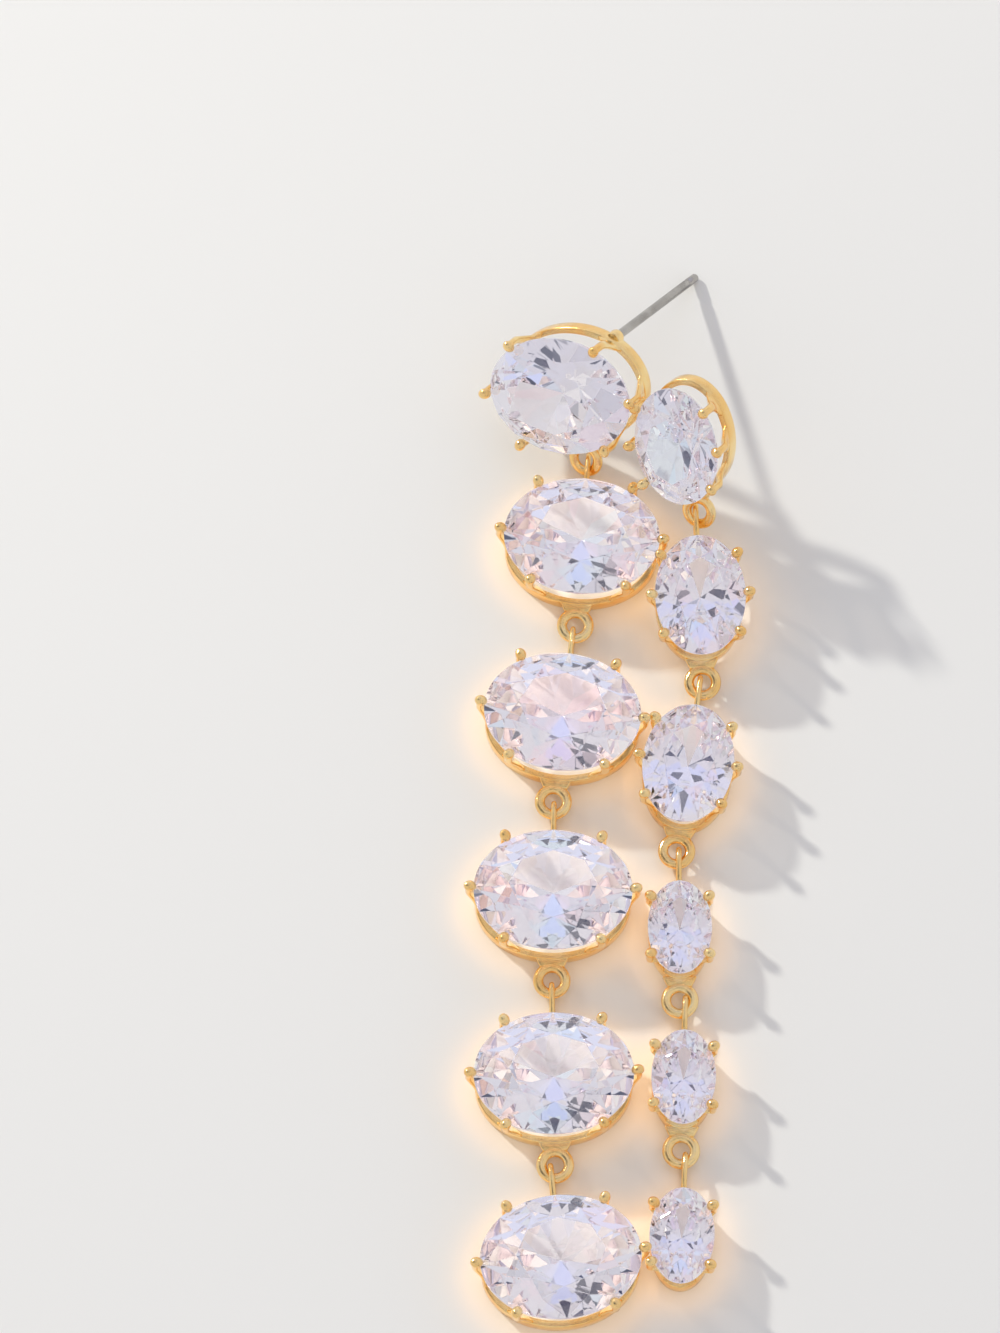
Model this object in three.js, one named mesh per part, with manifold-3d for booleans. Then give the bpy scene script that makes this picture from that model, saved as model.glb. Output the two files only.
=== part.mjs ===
// A two-strand chandelier earring, lying on its back as it rests on a table.
// Millimetres, +Z up, stones facing up, the two strands running along -Y from the ear post.
// The left strand has six large oval stones lying across it. The right strand has three
// medium and three small oval stones lying along it. The first large and the first medium
// setting are soldered side by side and carry the ear post. Every lower setting hangs by a
// wire hook that passes through the flat eye of the setting above it.

import * as THREE from 'three';
import { ConvexGeometry } from 'three/addons/geometries/ConvexGeometry.js';
import { mergeVertices } from 'three/addons/utils/BufferGeometryUtils.js';
import Module from 'manifold-3d';

const wasm = await Module();
wasm.setup();

// Stone outlines
const largeWidth = 15;
const largeHeight = 11.8;
const mediumWidth = 8.7;
const mediumHeight = 11.8;
const smallWidth = 6.05;
const smallHeight = 9.15;

// Height of each stone's girdle above the underside of its setting, and crown above the girdle
const largeRise = 4.9;
const mediumRise = 4.4;
const smallRise = 3.6;
const largeCrown = 1.9;
const mediumCrown = 1.6;
const smallCrown = 1.2;

// Cut proportions shared by all the stones
const girdleBand = 0.35;
const culetClear = 0.5;
const tableShare = 0.56;
const starShare = 0.76;
const lowerShare = 0.42;
const girdleSides = 32;

// Gallery band under each stone
const bandHeight = 1.5;
const bandWall = 0.65;
const bandInset = 0.1;
const bandSides = 28;

// Prongs, with a triangular web at the root and a bead at the tip
const prongRoot = 0.42;
const prongWaist = 0.34;
const beadRadius = 0.5;
const beadOut = 0.4;
const beadOver = 0.78;
const webWidth = 3;
const webShare = 0.3;
const rootDepth = 0.27;
const prongSides = 6;
const seatClear = 0.12;

// Links: a round eye lying in the plane of the band, and a hook standing across it
const eyeRadius = 1.35;
const eyeWire = 0.36;
const eyeReach = 2.05;
const tabWidth = 3.2;
const tabNeck = 2.2;
const tabThick = 0.55;
const hookWire = 0.27;
const hookReach = 3.95;
const linkClear = 0.25;
const floorClear = 0.03;
const eyeWireSides = 6;
const hookWireSides = 5;
const eyeSides = 12;
const hookSteps = 12;

// Ear post and the solder pad that it stands on
const postRadius = 0.43;
const postAngle = 55;
const padRadius = 0.75;
const padThick = 0.4;
const postClear = 0.12;
const postSides = 12;

// The soldered top pair: where the medium setting sits beside the large one, and how the
// pair leans on its post and its lower edge
const seamAngle = -21;
const seamGap = 1.1;
const bridgeWidth = 2.4;
const bridgeThick = 1.2;
const pairPitch = 45.2;
const pairRoll = -27.5;
const pairTurn = 7.1;

const gold = new THREE.MeshStandardMaterial({ color: 0xe8b64c, roughness: 0.16, metalness: 1 });
const steel = new THREE.MeshStandardMaterial({ color: 0x9a9aa0, roughness: 0.3, metalness: 1 });
const crystal = new THREE.MeshStandardMaterial({ color: 0xdfe0f5, roughness: 0.02, metalness: 0 });

// Sizes of the three kinds of setting
const large = {
  a: largeWidth / 2, b: largeHeight / 2, rise: largeRise, crown: largeCrown,
  prongs: [0, 54, 126, 180, 234, 306],
};
const medium = {
  a: mediumWidth / 2, b: mediumHeight / 2, rise: mediumRise, crown: mediumCrown,
  prongs: [0, 39, 141, 180, 219, 321],
};
const small = {
  a: smallWidth / 2, b: smallHeight / 2, rise: smallRise, crown: smallCrown,
  prongs: [36, 144, 216, 324],
};

// Half the inner height of a hook, and the height of every eye above the table
const hookHalf = eyeWire + linkClear + hookWire;
const eyeHeight = hookHalf + hookWire + floorClear;

// How each lower setting hangs: where round the eye above its hook sits, in degrees from
// the middle, how far the hook has slid from the taut place, as a share of the play in the
// link, and the setting's turn seen from above
const largeChain = [
  { round: 0, slide: 0.8, turn: -4.4 },
  { round: -9, slide: 0.05, turn: -6.4 },
  { round: 8, slide: 0.26, turn: -0.8 },
  { round: 1, slide: 0.05, turn: 0.9 },
  { round: -15, slide: 0.36, turn: 5.4 },
];
const sideChain = [
  { round: -20, slide: 0.9, turn: 1.8, kind: medium, name: 'medium', number: 2 },
  { round: -20, slide: 0.9, turn: -8, kind: medium, name: 'medium', number: 3 },
  { round: 16, slide: 0.61, turn: -0.1, kind: small, name: 'small', number: 1 },
  { round: 20, slide: 0.7, turn: -2, kind: small, name: 'small', number: 2 },
  { round: 16, slide: 0.05, turn: -3, kind: small, name: 'small', number: 3 },
];
const linkPlay = 2 * (eyeRadius - hookHalf);

const radians = THREE.MathUtils.degToRad;

// Solid from a closed three.js geometry: position only, shared vertices merged, and the
// flat triangles at the poles of turned shapes left out
function toSolid(geometry) {
  const bare = geometry.clone();
  for (const name of Object.keys(bare.attributes)) {
    if (name !== 'position') bare.deleteAttribute(name);
  }
  const merged = mergeVertices(bare, 1e-5);
  const corners = merged.index.array;
  const kept = [];
  for (let i = 0; i < corners.length; i += 3) {
    const [p, q, r] = [corners[i], corners[i + 1], corners[i + 2]];
    if (p !== q && q !== r && r !== p) kept.push(p, q, r);
  }
  const vertProperties = new Float32Array(merged.attributes.position.array);
  const triVerts = new Uint32Array(kept);
  return new wasm.Manifold(new wasm.Mesh({ numProp: 3, vertProperties, triVerts }));
}

function toGeometry(body) {
  const { vertProperties, triVerts } = body.getMesh();
  const geometry = new THREE.BufferGeometry();
  geometry.setAttribute('position', new THREE.BufferAttribute(new Float32Array(vertProperties), 3));
  geometry.setIndex(new THREE.BufferAttribute(new Uint32Array(triVerts), 1));
  const flat = geometry.toNonIndexed();
  flat.computeVertexNormals();
  return flat;
}

function join(bodies) {
  return bodies.reduce((whole, next) => whole.add(next));
}

function onOval(a, b, degrees, z) {
  const angle = radians(degrees);
  return new THREE.Vector3(a * Math.cos(angle), b * Math.sin(angle), z);
}

// Direction straight out from an oval at one of its angles
function outward(a, b, degrees) {
  const angle = radians(degrees);
  return new THREE.Vector3(b * Math.cos(angle), a * Math.sin(angle), 0).normalize();
}

// Distance from the centre of an oval to its edge along a compass direction
function reachOf(a, b, degrees) {
  const angle = radians(degrees);
  return (a * b) / Math.hypot(b * Math.cos(angle), a * Math.sin(angle));
}

// Oval brilliant: table, stars, kites, girdle, lower halves and mains. Star tips and lower
// tips lie in the planes of the kites and the mains.
function brilliant(kind) {
  const { a, b } = kind;
  const half = girdleBand / 2;
  const crown = kind.crown - half;
  const pavilion = kind.rise - culetClear - half;
  const points = [];
  const slope = (share) => 1 - share * Math.cos(Math.PI / 8);
  for (let i = 0; i < 8; i += 1) {
    const corner = 45 * i;
    const tip = corner + 22.5;
    points.push(onOval(a * tableShare, b * tableShare, corner, half + crown));
    const starHeight = (crown * slope(starShare)) / (1 - tableShare);
    points.push(onOval(a * starShare, b * starShare, tip, half + starHeight));
    const lowerDepth = pavilion * slope(lowerShare);
    points.push(onOval(a * lowerShare, b * lowerShare, tip, -half - lowerDepth));
  }
  for (let i = 0; i < girdleSides; i += 1) {
    const angle = (360 * i) / girdleSides;
    points.push(onOval(a, b, angle, half), onOval(a, b, angle, -half));
  }
  points.push(new THREE.Vector3(0, 0, -half - pavilion));
  const geometry = new ConvexGeometry(points);
  geometry.translate(0, 0, kind.rise);
  return geometry;
}

// Gallery band: an oval ring with a flat underside
function band(kind) {
  const a = kind.a - bandInset;
  const b = kind.b - bandInset;
  const outline = new THREE.Shape();
  outline.absellipse(0, 0, a, b, 0, 2 * Math.PI);
  const hole = new THREE.Path();
  hole.absellipse(0, 0, a - bandWall, b - bandWall, 0, 2 * Math.PI);
  outline.holes.push(hole);
  const options = { depth: bandHeight, bevelEnabled: false, curveSegments: bandSides / 2 };
  return toSolid(new THREE.ExtrudeGeometry(outline, options));
}

// Solid with level six-sided sections, each at its own height, place, breadth and depth
function loft(sections, across, out) {
  const positions = [];
  const index = [];
  for (const { centre, breadth, depth } of sections) {
    for (let i = 0; i < prongSides; i += 1) {
      const angle = (2 * Math.PI * (i + 0.5)) / prongSides;
      const corner = centre.clone().addScaledVector(across, breadth * Math.sin(angle));
      positions.push(...corner.addScaledVector(out, depth * Math.cos(angle)).toArray());
    }
  }
  const top = (sections.length - 1) * prongSides;
  for (let i = 0; i < prongSides; i += 1) {
    const next = (i + 1) % prongSides;
    for (let base = 0; base < top; base += prongSides) {
      const above = base + prongSides;
      index.push(base + i, base + next, above + i, base + next, above + next, above + i);
    }
    if (i > 0 && i < prongSides - 1) index.push(0, next, i, top, top + i, top + next);
  }
  const geometry = new THREE.BufferGeometry();
  geometry.setAttribute('position', new THREE.Float32BufferAttribute(positions, 3));
  geometry.setIndex(index);
  return geometry;
}

// One prong: a web that narrows upwards from inside the band, a leg past the girdle, and a
// bead over the edge of the stone. Places are measured out from the edge of the stone.
function prong(kind, degrees) {
  const out = outward(kind.a, kind.b, degrees);
  const across = new THREE.Vector3(-out.y, out.x, 0);
  const inBand = -bandInset - bandWall / 2;
  const beside = prongWaist + seatClear;
  const crest = THREE.MathUtils.lerp(bandHeight, kind.rise, webShare);
  const girdleTop = kind.rise + girdleBand / 2;
  const bead = kind.rise + beadOver;
  const rows = [
    { z: bandHeight / 2, place: inBand, breadth: webWidth / 2, depth: rootDepth },
    { z: bandHeight, place: inBand, breadth: 0.42 * webWidth, depth: rootDepth },
    { z: crest, place: (inBand + beside) / 2, breadth: prongRoot, depth: prongRoot },
    { z: kind.rise - girdleBand, place: beside, breadth: prongWaist, depth: prongWaist },
    { z: girdleTop + seatClear, place: beside, breadth: prongWaist, depth: prongWaist },
    { z: bead, place: beadOut, breadth: beadRadius, depth: beadRadius },
    { z: bead + 0.6 * beadRadius, place: beadOut, breadth: 0.8 * beadRadius, depth: 0.8 * beadRadius },
    { z: bead + beadRadius, place: beadOut, breadth: 0.3 * beadRadius, depth: 0.3 * beadRadius },
  ];
  const edge = onOval(kind.a, kind.b, degrees, 0);
  const sections = rows.map(({ z, place, breadth, depth }) => {
    const centre = edge.clone().addScaledVector(out, place);
    centre.z = z;
    return { centre, breadth, depth };
  });
  return toSolid(loft(sections, across, out));
}

// Flat eye below the band, with the tab that carries it
function eye(kind) {
  const edge = bandInset - kind.b;
  const ring = new THREE.TorusGeometry(eyeRadius, eyeWire, eyeWireSides, eyeSides);
  ring.translate(0, edge - eyeReach, eyeHeight);
  const tab = new THREE.Shape();
  tab.moveTo(-tabWidth / 2, edge + bandWall / 2);
  tab.lineTo(-tabNeck / 2, edge - eyeReach + eyeRadius);
  tab.lineTo(tabNeck / 2, edge - eyeReach + eyeRadius);
  tab.lineTo(tabWidth / 2, edge + bandWall / 2);
  tab.closePath();
  const plate = new THREE.ExtrudeGeometry(tab, { depth: tabThick, bevelEnabled: false });
  plate.translate(0, 0, eyeHeight - tabThick / 2);
  return toSolid(ring).add(toSolid(plate));
}

// Hook above the band: one bent wire standing on edge, its two ends inside the band
function hook(kind) {
  const edge = kind.b - bandInset;
  const end = edge + hookReach;
  const root = edge - bandWall / 2;
  const route = [
    [root, 0.72 * bandHeight],
    [edge + 0.22 * hookReach, eyeHeight + 0.8 * hookHalf],
    [end - 1.35 * hookHalf, eyeHeight + hookHalf],
    [end - 0.3 * hookHalf, eyeHeight + 0.72 * hookHalf],
    [end, eyeHeight],
    [end - 0.3 * hookHalf, eyeHeight - 0.72 * hookHalf],
    [end - 1.35 * hookHalf, eyeHeight - hookHalf],
    [edge + 0.22 * hookReach, eyeHeight - 0.95 * hookHalf],
    [root, 0.28 * bandHeight],
  ].map(([y, z]) => new THREE.Vector3(0, y, z));
  const section = new THREE.Shape();
  for (let i = 0; i < hookWireSides; i += 1) {
    const angle = (2 * Math.PI * i) / hookWireSides;
    const [x, y] = [hookWire * Math.cos(angle), hookWire * Math.sin(angle)];
    if (i === 0) section.moveTo(x, y);
    else section.lineTo(x, y);
  }
  section.closePath();
  const options = {
    steps: hookSteps, bevelEnabled: false, extrudePath: new THREE.CatmullRomCurve3(route),
  };
  return toSolid(new THREE.ExtrudeGeometry(section, options));
}

// All the metal of a setting
function setting(kind, { withHook, withEye }) {
  const bodies = [band(kind), ...kind.prongs.map((angle) => prong(kind, angle))];
  if (withEye) bodies.push(eye(kind));
  if (withHook) bodies.push(hook(kind));
  return join(bodies);
}

// Wire centre at the far side of a kind's eye, round degrees from its middle, and the middle
// of its hook's bend
function eyeEnd(kind, round) {
  const centre = bandInset - kind.b - eyeReach;
  const angle = radians(round);
  const x = eyeRadius * Math.sin(angle);
  return new THREE.Vector3(x, centre - eyeRadius * Math.cos(angle), eyeHeight);
}

function hookBend(kind, slide) {
  const y = kind.b - bandInset + hookReach - hookHalf - slide * linkPlay;
  return new THREE.Vector3(0, y, eyeHeight);
}

function named(geometry, material, name) {
  const mesh = new THREE.Mesh(geometry, material);
  mesh.name = name;
  return mesh;
}

const earring = new THREE.Group();

// The soldered pair at the top
const seamReach = reachOf(large.a - bandInset, large.b - bandInset, seamAngle);
const sideReach = reachOf(medium.a - bandInset, medium.b - bandInset, seamAngle);
const seamWay = onOval(1, 1, seamAngle, 0);
const sidePlace = seamWay.clone().multiplyScalar(seamReach + seamGap + sideReach);

function bridge() {
  const length = seamGap + bandWall;
  const block = new THREE.BoxGeometry(length, bridgeWidth, bridgeThick);
  block.rotateZ(radians(seamAngle));
  const middle = seamWay.clone().multiplyScalar(seamReach + seamGap / 2);
  block.translate(middle.x, middle.y, bandHeight / 2);
  return toSolid(block);
}

const padPlace = onOval(
  large.a - bandInset - bandWall / 2, large.b - bandInset - bandWall / 2, postAngle, 0,
);

function postPad() {
  const height = padThick + bandHeight / 2;
  const disc = new THREE.CylinderGeometry(padRadius, padRadius, height, postSides);
  disc.rotateX(Math.PI / 2);
  disc.translate(padPlace.x, padPlace.y, (bandHeight / 2 - padThick) / 2);
  return toSolid(disc);
}

const pair = new THREE.Group();
pair.rotation.set(radians(pairPitch), radians(pairRoll), radians(pairTurn));
pair.updateMatrixWorld(true);

// The pair's lower eye clears the table by the hook that passes under it
const pairEye = eyeEnd(large, largeChain[0].round).applyEuler(pair.rotation);
pair.position.z = eyeHeight - pairEye.z;

const besideLarge = [sidePlace.x, sidePlace.y, 0];
const topBody = join([
  setting(large, { withEye: true, withHook: false }),
  setting(medium, { withEye: true, withHook: false }).translate(besideLarge),
  bridge(),
  postPad(),
]);
pair.add(named(toGeometry(topBody), gold, 'top_setting'));
pair.add(named(brilliant(large), crystal, 'large_stone_1'));
const sideStone = named(brilliant(medium), crystal, 'medium_stone_1');
sideStone.position.copy(sidePlace);
pair.add(sideStone);

// The post stands square to the pair and its round end rests on the table
function earPost() {
  const start = padThick + postClear;
  pair.updateMatrixWorld(true);
  const base = new THREE.Vector3(padPlace.x, padPlace.y, -start).applyMatrix4(pair.matrixWorld);
  const upright = new THREE.Vector3(0, 0, 1).applyEuler(pair.rotation).z;
  const length = (base.z - postRadius) / upright;
  const profile = [
    [0, 0],
    [postRadius, 0],
    [postRadius, length],
    [0.71 * postRadius, length + 0.71 * postRadius],
    [0, length + postRadius],
  ].map(([radius, height]) => new THREE.Vector2(radius, height));
  const geometry = new THREE.LatheGeometry(profile, postSides);
  geometry.rotateX(-Math.PI / 2);
  geometry.translate(padPlace.x, padPlace.y, -start);
  return toGeometry(toSolid(geometry));
}

pair.add(named(earPost(), steel, 'ear_post'));
earring.add(pair);

// A setting and its stone, placed so that its hook's bend lies on the eye above it. Returns
// the group, for the next setting down.
function hang(kind, name, number, { slide, turn, lift, last }, eyeAbove) {
  const unit = new THREE.Group();
  unit.rotation.order = 'ZXY';
  unit.rotation.set(lift, 0, radians(turn));
  const bend = hookBend(kind, slide).applyEuler(unit.rotation);
  unit.position.copy(eyeAbove).sub(bend);
  const body = setting(kind, { withEye: !last, withHook: true });
  unit.add(named(toGeometry(body), gold, `${name}_setting_${number}`));
  unit.add(named(brilliant(kind), crystal, `${name}_stone_${number}`));
  earring.add(unit);
  return unit;
}

function inWorld(place, group) {
  group.updateMatrixWorld(true);
  return place.applyMatrix4(group.matrixWorld);
}

let eyeAbove = inWorld(eyeEnd(large, largeChain[0].round), pair);
largeChain.forEach((row, i) => {
  const below = largeChain[i + 1];
  const unit = hang(large, 'large', i + 2, { ...row, lift: 0, last: !below }, eyeAbove);
  if (below) eyeAbove = inWorld(eyeEnd(large, below.round), unit);
});

// The side strand hangs from the raised eye of the pair, so its first setting leans back
// until its own eye is at the height of the others
eyeAbove = inWorld(eyeEnd(medium, sideChain[0].round).add(sidePlace), pair);
sideChain.forEach((row, i) => {
  const below = sideChain[i + 1];
  const round = below ? below.round : 0;
  const span = hookBend(row.kind, row.slide).y - eyeEnd(row.kind, round).y;
  const lift = Math.asin((eyeAbove.z - eyeHeight) / span);
  const unit = hang(row.kind, row.name, row.number, { ...row, lift, last: !below }, eyeAbove);
  if (below) eyeAbove = inWorld(eyeEnd(row.kind, round), unit);
});

// Origin in the middle of the footprint, on the table
const bounds = new THREE.Box3().setFromObject(earring, true);
const middle = bounds.getCenter(new THREE.Vector3());
earring.position.set(-middle.x, -middle.y, -bounds.min.z);

export default earring;
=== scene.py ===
# %% [markdown]
# # A chandelier earring, lying on its back
#
# The earring has two strands. The long one carries six large oval stones that lie across it. The
# side one carries three medium and three small oval stones that lie along it. The first two
# settings are soldered side by side and hold the steel post that goes through the ear. Below
# them every setting hangs by a wire hook in the flat eye of the one above.
#
# The construction model already holds every piece at its real size and place. This lesson makes
# the jeweller's version of each piece, and reads where it lies from the construction model.

import math
import random

import bmesh
import bpy
from mathutils import Matrix, Vector


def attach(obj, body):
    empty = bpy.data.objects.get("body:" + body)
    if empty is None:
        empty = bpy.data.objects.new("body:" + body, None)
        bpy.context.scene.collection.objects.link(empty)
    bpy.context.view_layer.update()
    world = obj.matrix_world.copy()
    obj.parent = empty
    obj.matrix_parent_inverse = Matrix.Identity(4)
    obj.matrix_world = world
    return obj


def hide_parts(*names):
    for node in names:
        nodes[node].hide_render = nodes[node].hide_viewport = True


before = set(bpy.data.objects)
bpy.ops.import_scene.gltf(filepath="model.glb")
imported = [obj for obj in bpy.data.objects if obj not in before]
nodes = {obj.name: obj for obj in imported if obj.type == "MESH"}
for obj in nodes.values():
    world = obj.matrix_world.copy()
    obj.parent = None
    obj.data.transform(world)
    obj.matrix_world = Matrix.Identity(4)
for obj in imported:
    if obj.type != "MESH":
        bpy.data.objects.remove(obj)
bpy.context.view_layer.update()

MM = 0.001
print("construction pieces:", len(nodes))

# %% [markdown]
# ## Camera
#
# The camera comes first, because everything is seen through it. It looks down at about
# seventy degrees. A long lens from far away keeps the ovals true, so the camera stands well
# back.

# %% Camera
CAMERA_ELEVATION = math.radians(70)
CAMERA_DISTANCE = 640 * MM
CAMERA_LENS = 179.8
CAMERA_SENSOR = 36
NEAREST = 10 * MM
AIM = Vector((-10.51, 12.51, 0)) * MM

camera_data = bpy.data.cameras.new("camera")
camera_data.lens = CAMERA_LENS
camera_data.sensor_width = CAMERA_SENSOR
camera_data.clip_start = NEAREST
camera = bpy.data.objects.new("camera", camera_data)
bpy.context.scene.collection.objects.link(camera)
away = Vector((0, -math.cos(CAMERA_ELEVATION), math.sin(CAMERA_ELEVATION)))
camera.location = AIM + CAMERA_DISTANCE * away
camera.rotation_euler = (math.pi / 2 - CAMERA_ELEVATION, 0, 0)
bpy.context.scene.camera = camera
print("camera at", [round(v, 3) for v in camera.location])

# %% [markdown]
# ## Table and light
#
# Polished metal and cut stones show mostly what is round them, so the light is half of their
# look. A low sun-like lamp at the upper left gives the long shadows. The pale room gives the
# rest. Its far side is cool, like a window, with a bluer pane high up in it. A few small dark
# patches stand for the dark things that every room has: only a few facets catch each of them,
# and those facets turn slate blue.

# %% Table
TABLE_SIZE = 3.0
PAPER_COLOUR = (0.865, 0.855, 0.785, 1)
PAPER_ROUGHNESS = 0.7
PAPER_SHINE = 0.25

table_mesh = bmesh.new()
bmesh.ops.create_grid(table_mesh, x_segments=1, y_segments=1, size=TABLE_SIZE / 2)
floor_data = bpy.data.meshes.new("table_top")
table_mesh.to_mesh(floor_data)
table_mesh.free()
floor = bpy.data.objects.new("table_top", floor_data)
bpy.context.scene.collection.objects.link(floor)

paper = bpy.data.materials.new("pale_paper")
paper.use_nodes = True
paper_shader = paper.node_tree.nodes["Principled BSDF"]
paper_shader.inputs["Base Color"].default_value = PAPER_COLOUR
paper_shader.inputs["Roughness"].default_value = PAPER_ROUGHNESS
paper_shader.inputs["Specular IOR Level"].default_value = PAPER_SHINE
floor_data.materials.append(paper)


# %% Node helper
def add_node(tree, kind, **settings):
    node = tree.nodes.new(kind)
    for name, value in settings.items():
        setattr(node, name, value)
    return node


# %% The low lamp at the upper left
KEY_WAY = Vector((-1.33, 1.25, 1.0)).normalized()
KEY_DISTANCE = 0.9
KEY_SIZE = 0.045
KEY_POWER = 4.8
KEY_COLOUR = (1.0, 0.985, 0.95)


def lamp(name, place, size, power, colour):
    """A square soft lamp that looks at the middle of the earring."""
    data = bpy.data.lights.new(name, "AREA")
    data.size = size
    data.energy = power
    data.color = colour
    holder = bpy.data.objects.new(name, data)
    holder.location = place
    holder.rotation_mode = "QUATERNION"
    holder.rotation_quaternion = (-Vector(place)).to_track_quat("-Z", "Y")
    bpy.context.scene.collection.objects.link(holder)


lamp("key_lamp", KEY_DISTANCE * KEY_WAY, KEY_SIZE, KEY_POWER, KEY_COLOUR)
print("lamp elevation", round(math.degrees(math.asin(KEY_WAY.z)), 1))


# %% Patches of the room
def dome_patch(tree, below, way, inner, outer, colour):
    """Lays a soft round patch of light or dark on the dome, round a direction."""
    where = add_node(tree, "ShaderNodeTexCoord")
    near = add_node(tree, "ShaderNodeVectorMath", operation="DOT_PRODUCT")
    near.inputs[1].default_value = Vector(way).normalized()
    tree.links.new(where.outputs["Generated"], near.inputs[0])
    fade = add_node(tree, "ShaderNodeMapRange", interpolation_type="SMOOTHSTEP")
    fade.inputs["From Min"].default_value = math.cos(math.radians(outer))
    fade.inputs["From Max"].default_value = math.cos(math.radians(inner))
    tree.links.new(near.outputs["Value"], fade.inputs["Value"])
    mix = add_node(tree, "ShaderNodeMix", data_type="RGBA")
    mix.inputs["B"].default_value = colour
    tree.links.new(fade.outputs["Result"], mix.inputs["Factor"])
    tree.links.new(below, mix.inputs["A"])
    return mix.outputs["Result"]


# %% Room. A patch has a direction, and an inner and an outer angle in degrees.
ROOM_LOW = (0.68, 0.66, 0.68, 1)
ROOM_MIDDLE = (0.715, 0.71, 0.78, 1)
ROOM_HIGH = (0.74, 0.73, 0.76, 1)
MIDDLE_AT = 0.30
COOL = (0.77, 0.79, 0.95, 1)
COOL_SIDE = ((0, 1, 0.85), 15, 50)
BLUE = (0.66, 0.71, 0.98, 1)
BLUE_PANE = ((0, 0.45, 0.89), 7, 19)
DARK = (0.05, 0.06, 0.12, 1)
DARK_THINGS = [
    ((-0.45, -0.05, 0.89), 10, 14),
    ((0.04, -0.10, 0.99), 6, 9),
    ((-0.39, 0.23, 0.89), 4, 7),
    ((0.04, -0.84, 0.54), 5, 8),
    ((0.52, -0.84, 0.15), 6, 9),
    ((-0.63, -0.23, 0.74), 4, 6),
    ((-0.17, -0.47, 0.87), 2, 4),
    ((0.30, 0.34, 0.89), 2, 4),
    ((-0.41, 0.53, 0.74), 4, 6),
    ((-0.66, 0.09, 0.74), 5, 8),
    ((0.63, -0.39, 0.67), 4, 6),
    ((0.14, 0.53, 0.84), 4, 7),
]

world = bpy.data.worlds.new("studio")
world.use_nodes = True
bpy.context.scene.world = world
room = world.node_tree
height = add_node(room, "ShaderNodeSeparateXYZ")
dome = add_node(room, "ShaderNodeTexCoord")
room.links.new(dome.outputs["Generated"], height.inputs["Vector"])
shade = add_node(room, "ShaderNodeValToRGB")
steps = shade.color_ramp.elements
steps[0].color = ROOM_LOW
steps[1].color = ROOM_HIGH
steps.new(MIDDLE_AT).color = ROOM_MIDDLE
room.links.new(height.outputs["Z"], shade.inputs["Fac"])
sky = dome_patch(room, shade.outputs["Color"], *COOL_SIDE, COOL)
sky = dome_patch(room, sky, *BLUE_PANE, BLUE)
for dark_thing in DARK_THINGS:
    sky = dome_patch(room, sky, *dark_thing, DARK)
room.links.new(sky, room.nodes["Background"].inputs["Color"])
bpy.context.scene.view_settings.view_transform = "Standard"
print("dark patches:", len(DARK_THINGS))

# %% [markdown]
# ## Where each setting lies
#
# A setting and its stone share one frame: the middle of the setting's underside, X across the
# strand, Y up the strand and Z out of the stone's table. The stone in the construction model
# gives that frame. Its largest facet is the table, an eight-sided oval whose long diagonal is
# the stone's long axis. Reading it there saves typing places twice, and a stone that is moved
# in the construction takes its jewellery with it.

# %% Read the frame and the sizes of a stone
CULET_CLEAR = 0.5
SAME_PLACE = 1e-6
SAME_PLANE = math.radians(1)


def read_stone(node, long_axis):
    """The frame of a stone's setting, in metres, and the stone's sizes, in mm."""
    bm = bmesh.new()
    bm.from_mesh(nodes[node].data)
    bmesh.ops.remove_doubles(bm, verts=bm.verts, dist=SAME_PLACE)
    bmesh.ops.dissolve_limit(bm, angle_limit=SAME_PLANE, verts=bm.verts, edges=bm.edges)
    table = max(bm.faces, key=lambda face: face.calc_area())
    rim = [corner.co.copy() for corner in table.verts]
    opposite = [rim[i] - rim[i + 4] for i in range(4)]
    long_way = max(opposite, key=lambda way: way.length).normalized()
    up = table.normal.copy()
    if long_axis == "X":
        across = long_way if long_way.x > 0 else -long_way
        along = up.cross(across)
    else:
        along = long_way if long_way.y > 0 else -long_way
        across = along.cross(up)
    middle = sum(rim, Vector()) / len(rim)
    turn = Matrix((across, along, up)).transposed().to_4x4()
    local = [turn.inverted() @ (corner.co - middle) for corner in bm.verts]
    bm.free()
    widest = max(local, key=lambda corner: abs(corner.x))
    half_width = widest.x if widest.x > 0 else -widest.x
    half_height = max(corner.y for corner in local)
    at_girdle = [corner.z for corner in local if abs(abs(corner.x) - half_width) < SAME_PLACE]
    crown = -sum(at_girdle) / len(at_girdle)
    depth = -min(corner.z for corner in local) - crown
    sizes = {
        "a": half_width / MM,
        "b": half_height / MM,
        "crown": crown / MM,
        "rise": depth / MM + CULET_CLEAR,
    }
    under = middle - up * (crown + depth + CULET_CLEAR * MM)
    return Matrix.Translation(under) @ turn, sizes


LONG_AXIS = {"large": "X", "medium": "Y", "small": "Y"}
STONES = {"large": 6, "medium": 3, "small": 3}
places = {}
kinds = {}
for kind, count in STONES.items():
    for number in range(1, count + 1):
        places[kind, number], kinds[kind] = read_stone(f"{kind}_stone_{number}", LONG_AXIS[kind])
    print(kind, {name: round(size, 2) for name, size in kinds[kind].items()})

# %% [markdown]
# ## The light that a stone gathers
#
# A cut stone and its gold basket gather light and throw it, warm, on the table below and beside
# them. A renderer finds such light only by chance, so small lamps stand in for it: a creamy one
# within each basket, and a golden one a little wider than it. They look down, and only the table
# and the metal show them.

# %% Gathered light
GLOW_HEIGHT = 1.7
CREAM = (1.0, 0.88, 0.74)
CREAM_STRENGTH = 2.1
CREAM_MORE = -2.4
WARM = (1.0, 0.52, 0.16)
WARM_STRENGTH = 1.3
WARM_MORE = 4.0


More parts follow.
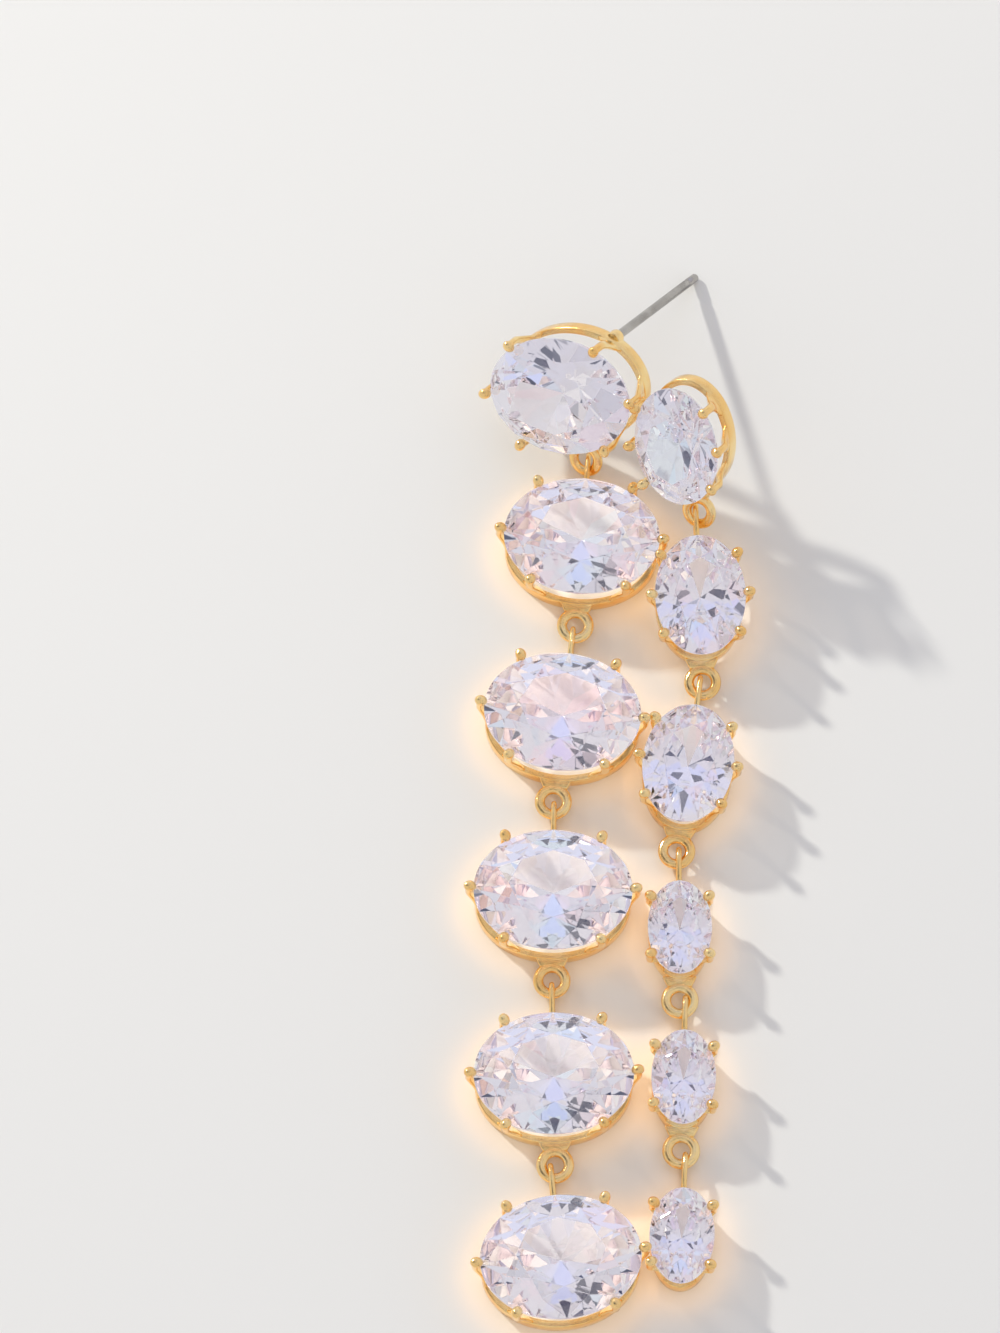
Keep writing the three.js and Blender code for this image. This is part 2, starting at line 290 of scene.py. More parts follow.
def glow(name, place, sizes, more, strength, colour):
    """An oval lamp that looks down, just above a band and wider than the stone by more."""
    width, length = 2 * sizes["a"] + more, 2 * sizes["b"] + more
    data = bpy.data.lights.new(name, "AREA")
    data.shape = "ELLIPSE"
    data.size = width * MM
    data.size_y = length * MM
    data.energy = strength * width * length * MM * MM
    data.color = colour
    holder = bpy.data.objects.new(name, data)
    holder.matrix_world = place @ Matrix.Translation((0, 0, GLOW_HEIGHT * MM))
    holder.visible_camera = False
    holder.visible_glossy = False
    holder.visible_transmission = False
    bpy.context.scene.collection.objects.link(holder)


for (kind, number), place in places.items():
    on_the_table = number > 1 or kind == "small"
    if on_the_table:
        sizes = kinds[kind]
        glow(f"cream_{kind}_{number}", place, sizes, CREAM_MORE, CREAM_STRENGTH, CREAM)
        glow(f"warm_{kind}_{number}", place, sizes, WARM_MORE, WARM_STRENGTH, WARM)

# %% [markdown]
# ## Finishes
#
# Three finishes make the earring: polished yellow gold plating, clear crystal and grey steel.
# Plating is never one flat colour. It is a little paler where it was polished hard and deeper
# elsewhere, and it carries fine wheel marks and shallow waves from the casting. Those effects
# repeat on the steel, so they are one node group with named inputs. Metal seen through a stone
# looks paler and pinker, because the stone's back mirrors the room over it, so the material
# paints that reflection in: a pale lavender blended into its colour there.


# %% Shader helpers
NOISE_LOW = 0.35
NOISE_HIGH = 0.65


def new_group(name, inputs, outputs):
    """An empty shader group with float or colour or vector sockets."""
    group = bpy.data.node_groups.new(name, "ShaderNodeTree")
    for label, kind, value in inputs:
        socket = group.interface.new_socket(label, in_out="INPUT", socket_type=kind)
        if value is not None:
            socket.default_value = value
    for label, kind in outputs:
        group.interface.new_socket(label, in_out="OUTPUT", socket_type=kind)
    return group, add_node(group, "NodeGroupInput"), add_node(group, "NodeGroupOutput")


def noise(tree, vector, scale, detail):
    node = add_node(tree, "ShaderNodeTexNoise")
    node.inputs["Scale"].default_value = scale
    node.inputs["Detail"].default_value = detail
    tree.links.new(vector, node.inputs["Vector"])
    return node.outputs["Fac"]


def spread(tree, value, low, high):
    """Maps the middle of a noise to the range from low to high."""
    node = add_node(tree, "ShaderNodeMapRange")
    node.inputs["From Min"].default_value = NOISE_LOW
    node.inputs["From Max"].default_value = NOISE_HIGH
    tree.links.new(value, node.inputs["Value"])
    for label, source in (("To Min", low), ("To Max", high)):
        if isinstance(source, (int, float)):
            node.inputs[label].default_value = source
        else:
            tree.links.new(source, node.inputs[label])
    return node.outputs["Result"]


def arithmetic(tree, operation, first, second):
    node = add_node(tree, "ShaderNodeMath", operation=operation)
    for socket, source in zip(node.inputs, (first, second)):
        if isinstance(source, (int, float)):
            socket.default_value = source
        else:
            tree.links.new(source, socket)
    return node.outputs["Value"]


# %% Polish: cloudy plating, wheel marks and casting waves
FLOAT, COLOUR, VECTOR = "NodeSocketFloat", "NodeSocketColor", "NodeSocketVector"
CLOUD_SCALE = 330
MARK_SCALE = 2500
WAVE_SCALE = 900
MARK_TURN = (0.5, 0.3, 0.7)
MARK_STRETCH = (1, 14, 1)
CLOUD_SHARE = 0.6
MARK_SHARE = 0.4
MARK_RELIEF = 0.12

polish, given, result = new_group(
    "polish",
    [
        ("Vector", VECTOR, None),
        ("Dull", FLOAT, 0.25),
        ("Bright", FLOAT, 0.1),
        ("Pale", COLOUR, (1, 1, 1, 1)),
        ("Deep", COLOUR, (1, 1, 1, 1)),
    ],
    [("Color", COLOUR), ("Roughness", FLOAT), ("Height", FLOAT)],
)
clouds = noise(polish, given.outputs["Vector"], CLOUD_SCALE, 3)
marks_way = add_node(polish, "ShaderNodeMapping")
marks_way.inputs["Rotation"].default_value = MARK_TURN
marks_way.inputs["Scale"].default_value = MARK_STRETCH
polish.links.new(given.outputs["Vector"], marks_way.inputs["Vector"])
marks = noise(polish, marks_way.outputs["Vector"], MARK_SCALE, 2)
waves = noise(polish, given.outputs["Vector"], WAVE_SCALE, 1)
tint = add_node(polish, "ShaderNodeMix", data_type="RGBA")
polish.links.new(spread(polish, clouds, 0, 1), tint.inputs["Factor"])
polish.links.new(given.outputs["Pale"], tint.inputs["A"])
polish.links.new(given.outputs["Deep"], tint.inputs["B"])
polish.links.new(tint.outputs["Result"], result.inputs["Color"])
mixed = arithmetic(polish, "ADD", arithmetic(polish, "MULTIPLY", clouds, CLOUD_SHARE),
                   arithmetic(polish, "MULTIPLY", marks, MARK_SHARE))
polish.links.new(
    spread(polish, mixed, given.outputs["Bright"], given.outputs["Dull"]),
    result.inputs["Roughness"],
)
relief = arithmetic(polish, "ADD", waves, arithmetic(polish, "MULTIPLY", marks, MARK_RELIEF))
polish.links.new(relief, result.inputs["Height"])
print("group", polish.name, "has", len(polish.nodes), "nodes")


# %% Polished metals
# Painted reflection: metal seen through a stone is blended this far towards a pale lavender, for
# the room that the stone's back mirrors.
PAINTED_REFLECTION = (0.92, 0.83, 0.96, 1)
PAINTED_REFLECTION_SHARE = 0.8
GOLD_PALE = (1.0, 0.76, 0.36, 1)
GOLD_DEEP = (0.98, 0.60, 0.20, 1)
STEEL_PALE = (0.50, 0.48, 0.455, 1)
STEEL_DEEP = (0.35, 0.335, 0.315, 1)


def metal(name, pale, deep, bright, dull, relief_mm):
    material = bpy.data.materials.new(name)
    material.use_nodes = True
    tree = material.node_tree
    shader = tree.nodes["Principled BSDF"]
    shader.inputs["Metallic"].default_value = 1
    where = add_node(tree, "ShaderNodeTexCoord")
    finish = add_node(tree, "ShaderNodeGroup", node_tree=polish)
    finish.inputs["Pale"].default_value = pale
    finish.inputs["Deep"].default_value = deep
    finish.inputs["Bright"].default_value = bright
    finish.inputs["Dull"].default_value = dull
    bump = add_node(tree, "ShaderNodeBump")
    bump.inputs["Strength"].default_value = 1
    bump.inputs["Distance"].default_value = relief_mm * MM
    tree.links.new(where.outputs["Object"], finish.inputs["Vector"])
    # Painted reflection: on rays that came through a stone the colour turns towards pale lavender.
    path = add_node(tree, "ShaderNodeLightPath")
    painted_reflection_mask = arithmetic(tree, "GREATER_THAN", path.outputs["Transmission Depth"], 0.5)
    painted_reflection_colour = add_node(tree, "ShaderNodeMix", data_type="RGBA")
    painted_reflection_colour.inputs["B"].default_value = PAINTED_REFLECTION
    tree.links.new(arithmetic(tree, "MULTIPLY", painted_reflection_mask, PAINTED_REFLECTION_SHARE), painted_reflection_colour.inputs["Factor"])
    tree.links.new(finish.outputs["Color"], painted_reflection_colour.inputs["A"])
    tree.links.new(painted_reflection_colour.outputs["Result"], shader.inputs["Base Color"])
    tree.links.new(finish.outputs["Roughness"], shader.inputs["Roughness"])
    tree.links.new(finish.outputs["Height"], bump.inputs["Height"])
    tree.links.new(bump.outputs["Normal"], shader.inputs["Normal"])
    return material


gold = metal("gold_plating", GOLD_PALE, GOLD_DEEP, bright=0.05, dull=0.17, relief_mm=0.07)
steel = metal("post_steel", STEEL_PALE, STEEL_DEEP, bright=0.16, dull=0.30, relief_mm=0.02)

# %% [markdown]
# ## Crystal
#
# The stones are clear with a pale lavender cast. Clear glass has no colour of its own, so nearly
# all of its look comes from the facets, which bend and mirror the room, and a glass shader does
# that. A few facets are tinted blue or pink at random: painted colour flashes that stand in for
# the light a cut stone splits into colours. A renderer lets light bounce only a few times, and
# light that is still within the stone then turns black. So after the third mirroring the stone
# lets it straight out. For shadow rays the stone is a tinted pane, which gives soft grey shadows.


# %% Crystal
CLEAR_TINT = (0.89, 0.86, 0.905, 1)
# Painted colour flashes: a few facets, picked by their random number, are tinted blue or pink.
PAINTED_BLUE_FLASH = (0.78, 0.90, 1.0, 1)
PAINTED_PINK_FLASH = (1.0, 0.82, 0.88, 1)
BLUE_FROM = 0.82
PINK_FROM = 0.91
CRYSTAL_IOR = 2.0
MIRRORINGS = 2.5
SHADOW_PANE = (0.36, 0.33, 0.30, 1)
OPEN = (1, 1, 1, 1)


def crystal_glass():
    material = bpy.data.materials.new("crystal")
    material.use_nodes = True
    tree = material.node_tree
    shader = tree.nodes["Principled BSDF"]
    shader.inputs["Roughness"].default_value = 0
    shader.inputs["IOR"].default_value = CRYSTAL_IOR
    shader.inputs["Transmission Weight"].default_value = 1
    # Painted colour flashes: each facet's random number picks clear, blue or pink.
    facet = add_node(tree, "ShaderNodeAttribute", attribute_name="facet")
    ramp = add_node(tree, "ShaderNodeValToRGB")
    ramp.color_ramp.interpolation = "CONSTANT"
    steps = ramp.color_ramp.elements
    steps[0].color = CLEAR_TINT
    steps[1].position, steps[1].color = BLUE_FROM, PAINTED_BLUE_FLASH
    steps.new(PINK_FROM).color = PAINTED_PINK_FLASH
    tree.links.new(facet.outputs["Fac"], ramp.inputs["Fac"])
    tree.links.new(ramp.outputs["Color"], shader.inputs["Base Color"])
    clear = add_node(tree, "ShaderNodeBsdfTransparent")
    clear.inputs["Color"].default_value = SHADOW_PANE
    path = add_node(tree, "ShaderNodeLightPath")
    open_end = add_node(tree, "ShaderNodeBsdfTransparent")
    open_end.inputs["Color"].default_value = OPEN
    trapped = arithmetic(tree, "GREATER_THAN", path.outputs["Glossy Depth"], MIRRORINGS)
    release = add_node(tree, "ShaderNodeMixShader")
    tree.links.new(trapped, release.inputs["Fac"])
    tree.links.new(shader.outputs["BSDF"], release.inputs[1])
    tree.links.new(open_end.outputs["BSDF"], release.inputs[2])
    mix = add_node(tree, "ShaderNodeMixShader")
    tree.links.new(path.outputs["Is Shadow Ray"], mix.inputs["Fac"])
    tree.links.new(release.outputs["Shader"], mix.inputs[1])
    tree.links.new(clear.outputs["BSDF"], mix.inputs[2])
    tree.links.new(mix.outputs["Shader"], tree.nodes["Material Output"].inputs["Surface"])
    return material


crystal = crystal_glass()
print("finishes:", [m.name for m in bpy.data.materials])

# %% [markdown]
# ## Finishing a piece
#
# Every piece is modelled in its setting's frame in millimetres, where its numbers are easy to
# read. At the end its mesh is moved to its place in metres, and the object itself stays at the
# origin, unturned.


# %% Turn a bmesh into a piece of the earring
def place_piece(bm, name, place, material, smooth_below=None):
    """Makes the piece that stands for the construction node of the same name."""
    bm.transform(place @ Matrix.Scale(MM, 4))
    data = bpy.data.meshes.new(name)
    bm.to_mesh(data)
    bm.free()
    data.materials.append(material)
    if smooth_below is not None:
        data.shade_smooth()
        data.set_sharp_from_angle(angle=smooth_below)
    piece = bpy.data.objects.new(f"{name}_finished", data)
    bpy.context.scene.collection.objects.link(piece)
    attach(piece, "root")
    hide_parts(name)
    return piece


# %% [markdown]
# ## Cutting the stones
#
# A cutter grinds a stone against a flat wheel, one facet at a time. The same act is a plane cut
# that throws the outside away and leaves a flat face behind it. An oval brilliant is a round one
# stretched, so the stone is cut round, with a radius of one, and then scaled to its oval. Its
# table is the top of the rough, and every other facet is a plane through three points that the
# facet has to meet.

# %% Facet values, as shares of the stone's radius
GIRDLE = 0.35
TABLE_SHARE = 0.56
STAR_SHARE = 0.76
LOWER_SHARE = 0.30
ROUGH_SIDES = 96
PAVILION_DEPTH = {"large": 1.0, "medium": 0.97, "small": 0.97}
EDGE_POLISH = 0.025
CRISP = math.radians(4)
ON_PLANE = 1e-5


def around(radius, degrees, z):
    angle = math.radians(degrees)
    return Vector((radius * math.cos(angle), radius * math.sin(angle), z))


def grind(bm, first, second, third):
    """Cuts off what lies outside the plane of three points, and closes the cut with a facet."""
    outward = (second - first).cross(third - first)
    if outward.dot(first) < 0:
        outward.negate()
    everything = bm.verts[:] + bm.edges[:] + bm.faces[:]
    cut = bmesh.ops.bisect_plane(bm, geom=everything, dist=ON_PLANE, plane_co=first,
                                 plane_no=outward, clear_outer=True)
    rim = [part for part in cut["geom_cut"] if isinstance(part, bmesh.types.BMEdge)]
    bmesh.ops.contextual_create(bm, geom=rim)


# %% Cut one stone
def cut_stone(sizes, depth):
    """An oval brilliant in its setting's frame: 57 facets and a thin girdle."""
    half = GIRDLE / 2
    top = sizes["crown"]
    bottom = (sizes["rise"] - CULET_CLEAR) * depth
    crown = top - half
    pavilion = bottom - half
    bm = bmesh.new()
    middle = Matrix.Translation((0, 0, (top - bottom) / 2))
    bmesh.ops.create_cone(bm, cap_ends=True, segments=ROUGH_SIDES, radius1=1, radius2=1,
                          depth=top + bottom, matrix=middle)
    near = math.cos(math.radians(22.5))
    star_z = half + crown * (1 - STAR_SHARE * near) / (1 - TABLE_SHARE)
    tip_z = -half - pavilion * (1 - LOWER_SHARE * near)
    culet = Vector((0, 0, -bottom))
    for main in range(0, 360, 45):
        girdle_top = around(1, main, half)
        girdle_foot = around(1, main, -half)
        sideways = around(1, main + 90, 0)
        grind(bm, around(TABLE_SHARE, main, top), girdle_top, girdle_top + sideways)
        grind(bm, culet, girdle_foot, girdle_foot + sideways)
    for main in range(0, 360, 45):
        table_corner = around(TABLE_SHARE, main, top)
        next_corner = around(TABLE_SHARE, main + 45, top)
        star_tip = around(STAR_SHARE, main + 22.5, star_z)
        lower_tip = around(LOWER_SHARE, main + 22.5, tip_z)
        grind(bm, table_corner, next_corner, star_tip)
        for corner in (main, main + 45):
            grind(bm, star_tip, around(1, corner, half), around(1, main + 22.5, half))
            grind(bm, lower_tip, around(1, corner, -half), around(1, main + 22.5, -half))
    bmesh.ops.scale(bm, vec=(sizes["a"], sizes["b"], 1), verts=bm.verts)
    bmesh.ops.translate(bm, vec=(0, 0, sizes["rise"]), verts=bm.verts)
    return bm


# %% Polish the facet edges and give each facet its own number
def finish_stone(bm, seed):
    edges = [e for e in bm.edges if e.is_manifold and e.calc_face_angle() > CRISP]
    bmesh.ops.bevel(bm, geom=edges, offset=EDGE_POLISH, offset_type="OFFSET", affect="EDGES",
                    segments=1, profile=0.5, material=-1)
    bmesh.ops.recalc_face_normals(bm, faces=bm.faces)
    draw = random.Random(seed)
    facet = bm.faces.layers.float.new("facet")
    for face in bm.faces:
        face[facet] = draw.random()


stones = []
for seed, (kind, number) in enumerate(places):
    stone = cut_stone(kinds[kind], PAVILION_DEPTH[kind])
    finish_stone(stone, seed)
    open_edges = sum(not e.is_manifold for e in stone.edges)
    name = f"{kind}_stone_{number}"
    stones.append(place_piece(stone, name, places[kind, number], crystal))
    if number == 1:
        print(name, "faces", len(stones[-1].data.polygons), "open edges", open_edges)

# %% [markdown]
# ## The gallery band
#
# The band is the oval ring that the prongs stand on. A jeweller bends it from flat strip, so its
# wall is the same all the way round and its edges are soft. Two ovals bridged into a flat ring
# and extruded give it, and a small bevel softens the edges, which is where polished metal
# catches the light.

# %% Band values and the band
BAND_HEIGHT = 1.5
BAND_WALL = 0.65
BAND_INSET = 0.1
BAND_SIDES = 96
BAND_SOFT = 0.12
SOFT_STEPS = 3
CORNER = 1.0


def edges_between(verts):
    """The edges with both ends among the verts, each once and always in the same order."""
    inside = set(verts)
    found = (e for v in verts for e in v.link_edges if e.other_vert(v) in inside)
    return list(dict.fromkeys(found))


def corners_of(edges):
    """Those of the edges where the surface turns by more than CORNER, in radians."""
    return [e for e in edges if e.calc_face_angle(0) > CORNER]


def soften(bm, edges, width):
    """Rounds edges of the metal, as polishing does."""
    bmesh.ops.bevel(bm, geom=edges, offset=width, offset_type="OFFSET", affect="EDGES",
                    segments=SOFT_STEPS, profile=0.5, material=-1)


def oval_loop(bm, a, b, z, sides):
    loop = bmesh.ops.create_circle(bm, segments=sides, radius=1)["verts"]
    bmesh.ops.scale(bm, vec=(a, b, 1), verts=loop)
    bmesh.ops.translate(bm, vec=(0, 0, z), verts=loop)
    return loop


def add_band(bm, sizes):
    a = sizes["a"] - BAND_INSET
    b = sizes["b"] - BAND_INSET
    outer = oval_loop(bm, a, b, 0, BAND_SIDES)
    inner = oval_loop(bm, a - BAND_WALL, b - BAND_WALL, 0, BAND_SIDES)
    rims = edges_between(outer) + edges_between(inner)
    ring = bmesh.ops.bridge_loops(bm, edges=rims)["faces"]
    raised = bmesh.ops.extrude_face_region(bm, geom=ring)["geom"]
    lifted = [part for part in raised if isinstance(part, bmesh.types.BMVert)]
    bmesh.ops.translate(bm, vec=(0, 0, BAND_HEIGHT), verts=lifted)
    loops = edges_between(outer) + edges_between(inner) + edges_between(lifted)
    soften(bm, corners_of(loops), BAND_SOFT)


# %% [markdown]
# ## Prongs and links
#
# Prongs and hooks are wire, and wire is one section carried along a path. A helper lays circles
# at stations along the path, each with its own place, turn and size, and bridges each to the
# next. A prong starts as a wide web on the band, narrows to a leg beside the stone and ends in a
# bead that the jeweller has burnished over the stone's edge.

# %% Carry a section along stations
WIRE_SIDES = 14


def add_wire(bm, stations):
    """Bridges circles of radius one that the station matrices place, turn and size."""
    last = None
    for index, station in enumerate(stations):
        ends = index in (0, len(stations) - 1)
        loop = bmesh.ops.create_circle(bm, cap_ends=ends, segments=WIRE_SIDES, radius=1,
                                       matrix=station)["verts"]
        edges = edges_between(loop)
        if last:
            bmesh.ops.bridge_loops(bm, edges=last + edges)
        last = edges


def station(place, across, forward, breadth, depth):
    """Matrix of a circle at place that faces forward, with its first axis across."""
    other = forward.cross(across).normalized()
    turn = Matrix((across * breadth, other * depth, forward)).transposed().to_4x4()
    return Matrix.Translation(place) @ turn


# %% Prongs
PRONGS = {
    "large": (0, 54, 126, 180, 234, 306),
    "medium": (0, 39, 141, 180, 219, 321),
    "small": (36, 144, 216, 324),
}
LEG = 0.34
LEG_CLEAR = 0.1
WEB_HALF = 1.5
BEAD = 0.52
BEAD_LONG = 0.62
BEAD_FLAT = 0.46
BEAD_PLACE = 0.32
BEAD_OUT = 0.4
BEAD_OVER = 0.78
BEAD_SIDES = 20
BEAD_RINGS = 12
BEAD_SINK = 0.02
BEAD_LEAN = 0.35


def add_prong(bm, sizes, degrees):
    """One prong. Rows run up it: height, place out from the stone's edge, breadth, depth."""
    a, b, rise = sizes["a"], sizes["b"], sizes["rise"]
    angle = math.radians(degrees)
    edge = Vector((a * math.cos(angle), b * math.sin(angle), 0))
    out = Vector((b * math.cos(angle), a * math.sin(angle), 0)).normalized()
    across = Vector((-out.y, out.x, 0))
    wall = -BAND_INSET - BAND_WALL / 2
    beside = LEG + LEG_CLEAR
    top = rise + BEAD_OVER
    rows = [
        (0.5 * BAND_HEIGHT, wall, WEB_HALF, 0.26),
        (0.95 * BAND_HEIGHT, wall, 0.96 * WEB_HALF, 0.30),
        (1.15 * BAND_HEIGHT, wall, 0.78 * WEB_HALF, 0.32),
        (1.40 * BAND_HEIGHT, 0.7 * wall, 0.56 * WEB_HALF, 0.34),
        (1.75 * BAND_HEIGHT, 0.2 * wall, 0.40 * WEB_HALF, 0.36),
        (rise - GIRDLE - 0.5, beside, 1.2 * LEG, LEG),
        (rise, beside, 1.15 * LEG, 0.95 * LEG),
        (rise + 0.35, beside - 0.02, 1.2 * LEG, LEG),
        (top - 0.1, BEAD_OUT, 1.2 * LEG, LEG),
    ]
    up = Vector((0, 0, 1))
    add_wire(bm, [
        station(edge + out * place + up * z, across, up, breadth, depth)
        for z, place, breadth, depth in rows
    ])
    tip = edge + out * BEAD_PLACE + up * (top - BEAD_SINK)
    claw = station(tip, across, (up - BEAD_LEAN * out).normalized(), BEAD, BEAD_LONG)
    bmesh.ops.create_uvsphere(bm, u_segments=BEAD_SIDES, v_segments=BEAD_RINGS, radius=1,
                              matrix=claw @ Matrix.Diagonal((1, 1, BEAD_FLAT, 1)))


# %% Eye and tab
EYE_RADIUS = 1.35
EYE_WIRE = 0.36
EYE_BREADTH = 0.50
EYE_MIDDLE = 1.29
EYE_REACH = 2.05
EYE_STEPS = 40
TAB_WIDTH = 3.3
TAB_NECK = 2.3
TAB_THICK = 0.55
TAB_SOFT = 0.14
HOOK_WIRE = 0.27
HOOK_REACH = 3.95
LINK_CLEAR = 0.25
FLOOR_CLEAR = 0.03
HOOK_HALF = EYE_WIRE + LINK_CLEAR + HOOK_WIRE
EYE_HEIGHT = HOOK_HALF + HOOK_WIRE + FLOOR_CLEAR
FULL_TURN = 2 * math.pi


def add_eye(bm, sizes):
    centre_y = BAND_INSET - sizes["b"] - EYE_REACH
    stand = Matrix.Translation((EYE_MIDDLE, 0, 0)) @ Matrix.Rotation(math.pi / 2, 4, "X")
    oval = Matrix.Diagonal((EYE_BREADTH, EYE_WIRE, 1, 1))
    section = bmesh.ops.create_circle(bm, segments=WIRE_SIDES, radius=1, matrix=stand @ oval)
    wire = section["verts"]
    before = set(bm.verts) - set(wire)
    bmesh.ops.spin(bm, geom=wire + edges_between(wire), cent=(0, 0, 0), axis=(0, 0, 1),
                   dvec=(0, 0, 0), angle=FULL_TURN, steps=EYE_STEPS, use_merge=True)
    ring = [v for v in bm.verts if v not in before]
    bmesh.ops.translate(bm, vec=(0, centre_y, EYE_HEIGHT), verts=ring)
    edge = BAND_INSET - sizes["b"]
    far = centre_y + EYE_RADIUS
    corners = [(-TAB_WIDTH / 2, edge + BAND_WALL / 2), (-TAB_NECK / 2, far),
               (TAB_NECK / 2, far), (TAB_WIDTH / 2, edge + BAND_WALL / 2)]
    flat = [bm.verts.new((x, y, EYE_HEIGHT - TAB_THICK / 2)) for x, y in corners]
    plate = bm.faces.new(flat)
    raised = bmesh.ops.extrude_face_region(bm, geom=[plate])["geom"]
    lifted = [part for part in raised if isinstance(part, bmesh.types.BMVert)]
    bmesh.ops.translate(bm, vec=(0, 0, TAB_THICK), verts=lifted)
    rims = edges_between(flat + lifted)
    soften(bm, rims, TAB_SOFT)


# %% Hook: one bent wire on edge, with both ends in the band
HOOK_STEPS = 8


def smooth_route(points, steps):
    """Catmull-Rom curve through the points, with steps stations to a span."""
    padded = [2 * points[0] - points[1], *points, 2 * points[-1] - points[-2]]
    route = []
    for p0, p1, p2, p3 in zip(padded, padded[1:], padded[2:], padded[3:]):
        for step in range(steps):
            t = step / steps
            route.append(0.5 * (2 * p1 + (p2 - p0) * t + (2 * p0 - 5 * p1 + 4 * p2 - p3) * t * t
                                + (3 * p1 - p0 - 3 * p2 + p3) * t ** 3))
    return route + [points[-1]]


def add_hook(bm, sizes):
    edge = sizes["b"] - BAND_INSET
    end = edge + HOOK_REACH
    root = edge - BAND_WALL / 2
    shape = [
        (root, 0.72 * BAND_HEIGHT),
        (edge + 0.22 * HOOK_REACH, EYE_HEIGHT + 0.8 * HOOK_HALF),
        (end - 1.35 * HOOK_HALF, EYE_HEIGHT + HOOK_HALF),
        (end - 0.3 * HOOK_HALF, EYE_HEIGHT + 0.72 * HOOK_HALF),
        (end, EYE_HEIGHT),
        (end - 0.3 * HOOK_HALF, EYE_HEIGHT - 0.72 * HOOK_HALF),
        (end - 1.35 * HOOK_HALF, EYE_HEIGHT - HOOK_HALF),
        (edge + 0.22 * HOOK_REACH, EYE_HEIGHT - 0.95 * HOOK_HALF),
        (root, 0.28 * BAND_HEIGHT),
    ]
    route = smooth_route([Vector((0, y, z)) for y, z in shape], HOOK_STEPS)
    across = Vector((1, 0, 0))
    ways = [(after - before).normalized()
            for before, after in zip([route[0]] + route, route[1:] + [route[-1]])]
    add_wire(bm, [station(place, across, way, HOOK_WIRE, HOOK_WIRE)
                  for place, way in zip(route, ways)])


# %% [markdown]
# ## Settings
#
# The lower settings differ only in their kind and in whether another one hangs below them, so a
# loop makes them. The last one of each strand has no eye.

# %% Lower settings
SHARP = math.radians(50)
STRANDS = {
    "long": [("large", number) for number in range(1, 7)],
    "side": [(kind, number) for kind in ("medium", "small") for number in (1, 2, 3)],
}


def add_basket(bm, kind, eye):
    sizes = kinds[kind]
    add_band(bm, sizes)
    for degrees in PRONGS[kind]:
        add_prong(bm, sizes, degrees)
    if eye:
        add_eye(bm, sizes)


for strand in STRANDS.values():
    for kind, number in strand[1:]:
        metalwork = bmesh.new()
        add_basket(metalwork, kind, eye=(kind, number) != strand[-1])
        add_hook(metalwork, kinds[kind])
        bmesh.ops.recalc_face_normals(metalwork, faces=metalwork.faces)
        name = f"{kind}_setting_{number}"
        piece = place_piece(metalwork, name, places[kind, number], gold, SHARP)
        print(name, "faces", len(piece.data.polygons))

# %% [markdown]
# ## The top pair and the post
#
# The first large and the first medium setting are soldered side by side by a short bar, and the
# post stands on a small round pad at the back of the large one. The pair is one piece of metal.
# The post is turned on a lathe: a profile spun about its axis, with a shallow groove near the
# tip that keeps the nut on.

# %% Bar, pad and pair
BAR_WIDTH = 2.4
BAR_THICK = 1.2
BAR_SOFT = 0.2
SEAM_GAP = 1.1
PAD_RADIUS = 0.75
PAD_THICK = 0.4
PAD_SOFT = 0.12
PAD_SIDES = 32

top_place = places["large", 1]
side_middle = (top_place.inverted() @ places["medium", 1].to_translation()) / MM
seam_way = side_middle.normalized()
post_node = nodes["ear_post"].data
post_points = [(top_place.inverted() @ v.co) / MM for v in post_node.vertices]
post_middle = sum(post_points, Vector()) / len(post_points)
post_start = max(p.z for p in post_points)
post_end = min(p.z for p in post_points)
post_radius = max(math.hypot(p.x - post_middle.x, p.y - post_middle.y) for p in post_points)
print("post radius", round(post_radius, 2), "length", round(post_start - post_end, 1))


def oval_reach(sizes, way):
    a, b = sizes["a"] - BAND_INSET, sizes["b"] - BAND_INSET
    return a * b / math.hypot(b * way.x, a * way.y)


def add_bar(bm):
    reach = oval_reach(kinds["large"], seam_way)
    middle = seam_way * (reach + SEAM_GAP / 2) + Vector((0, 0, BAND_HEIGHT / 2))
    turn = Matrix.Rotation(math.atan2(seam_way.y, seam_way.x), 4, "Z")
    size = Matrix.Diagonal((SEAM_GAP + BAND_WALL, BAR_WIDTH, BAR_THICK, 1))
    block = bmesh.ops.create_cube(bm, size=1, matrix=Matrix.Translation(middle) @ turn @ size)
    soften(bm, edges_between(block["verts"]), BAR_SOFT)


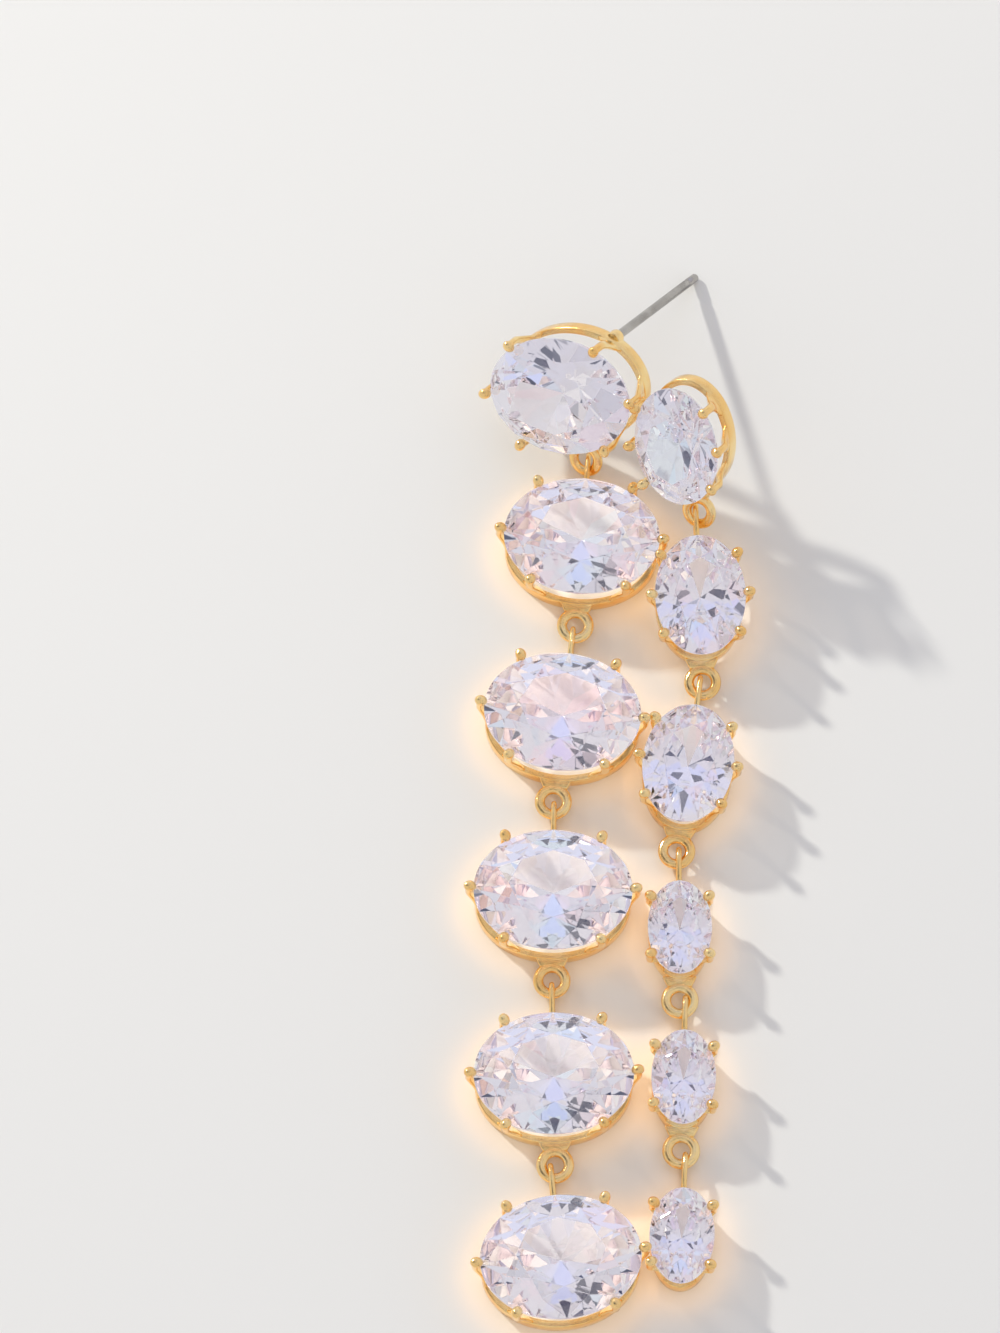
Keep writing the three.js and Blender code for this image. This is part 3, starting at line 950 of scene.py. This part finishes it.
def add_pad(bm):
    height = PAD_THICK + BAND_HEIGHT / 2
    place = Matrix.Translation((post_middle.x, post_middle.y, (BAND_HEIGHT / 2 - PAD_THICK) / 2))
    disc = bmesh.ops.create_cone(bm, cap_ends=True, segments=PAD_SIDES, radius1=PAD_RADIUS,
                                 radius2=PAD_RADIUS, depth=height, matrix=place)
    soften(bm, corners_of(edges_between(disc["verts"])), PAD_SOFT)


pair = bmesh.new()
add_basket(pair, "medium", eye=True)
bmesh.ops.translate(pair, vec=side_middle, verts=pair.verts)
add_basket(pair, "large", eye=True)
add_bar(pair)
add_pad(pair)
bmesh.ops.recalc_face_normals(pair, faces=pair.faces)
top_piece = place_piece(pair, "top_setting", top_place, gold, SHARP)
print("top_setting faces", len(top_piece.data.polygons))

# %% Post
GROOVE_FROM_TIP = 1.7
GROOVE_LENGTH = 0.5
GROOVE_DEPTH = 0.08
POST_SIDES = 32
TIP_STEPS = 6
SAME_POINT = 1e-4

post = bmesh.new()
groove = post_end + GROOVE_FROM_TIP
profile = [
    (0, post_start),
    (post_radius, post_start),
    (post_radius, groove + GROOVE_LENGTH),
    (post_radius - GROOVE_DEPTH, groove + 0.7 * GROOVE_LENGTH),
    (post_radius - GROOVE_DEPTH, groove + 0.3 * GROOVE_LENGTH),
    (post_radius, groove),
]
for step in range(1, TIP_STEPS + 1):
    angle = step * math.pi / (2 * TIP_STEPS)
    profile.append((post_radius * math.cos(angle), post_end + post_radius * (1 - math.sin(angle))))
line = [post.verts.new((radius, 0, z)) for radius, z in profile]
for first, second in zip(line, line[1:]):
    post.edges.new((first, second))
bmesh.ops.spin(post, geom=post.verts[:] + post.edges[:], cent=(0, 0, 0), axis=(0, 0, 1),
               dvec=(0, 0, 0), angle=FULL_TURN, steps=POST_SIDES, use_merge=True)
bmesh.ops.remove_doubles(post, verts=post.verts, dist=SAME_POINT)
bmesh.ops.recalc_face_normals(post, faces=post.faces)
bmesh.ops.translate(post, vec=(post_middle.x, post_middle.y, 0), verts=post.verts)
post_piece = place_piece(post, "ear_post", top_place, steel, SHARP)
print("ear_post faces", len(post_piece.data.polygons))
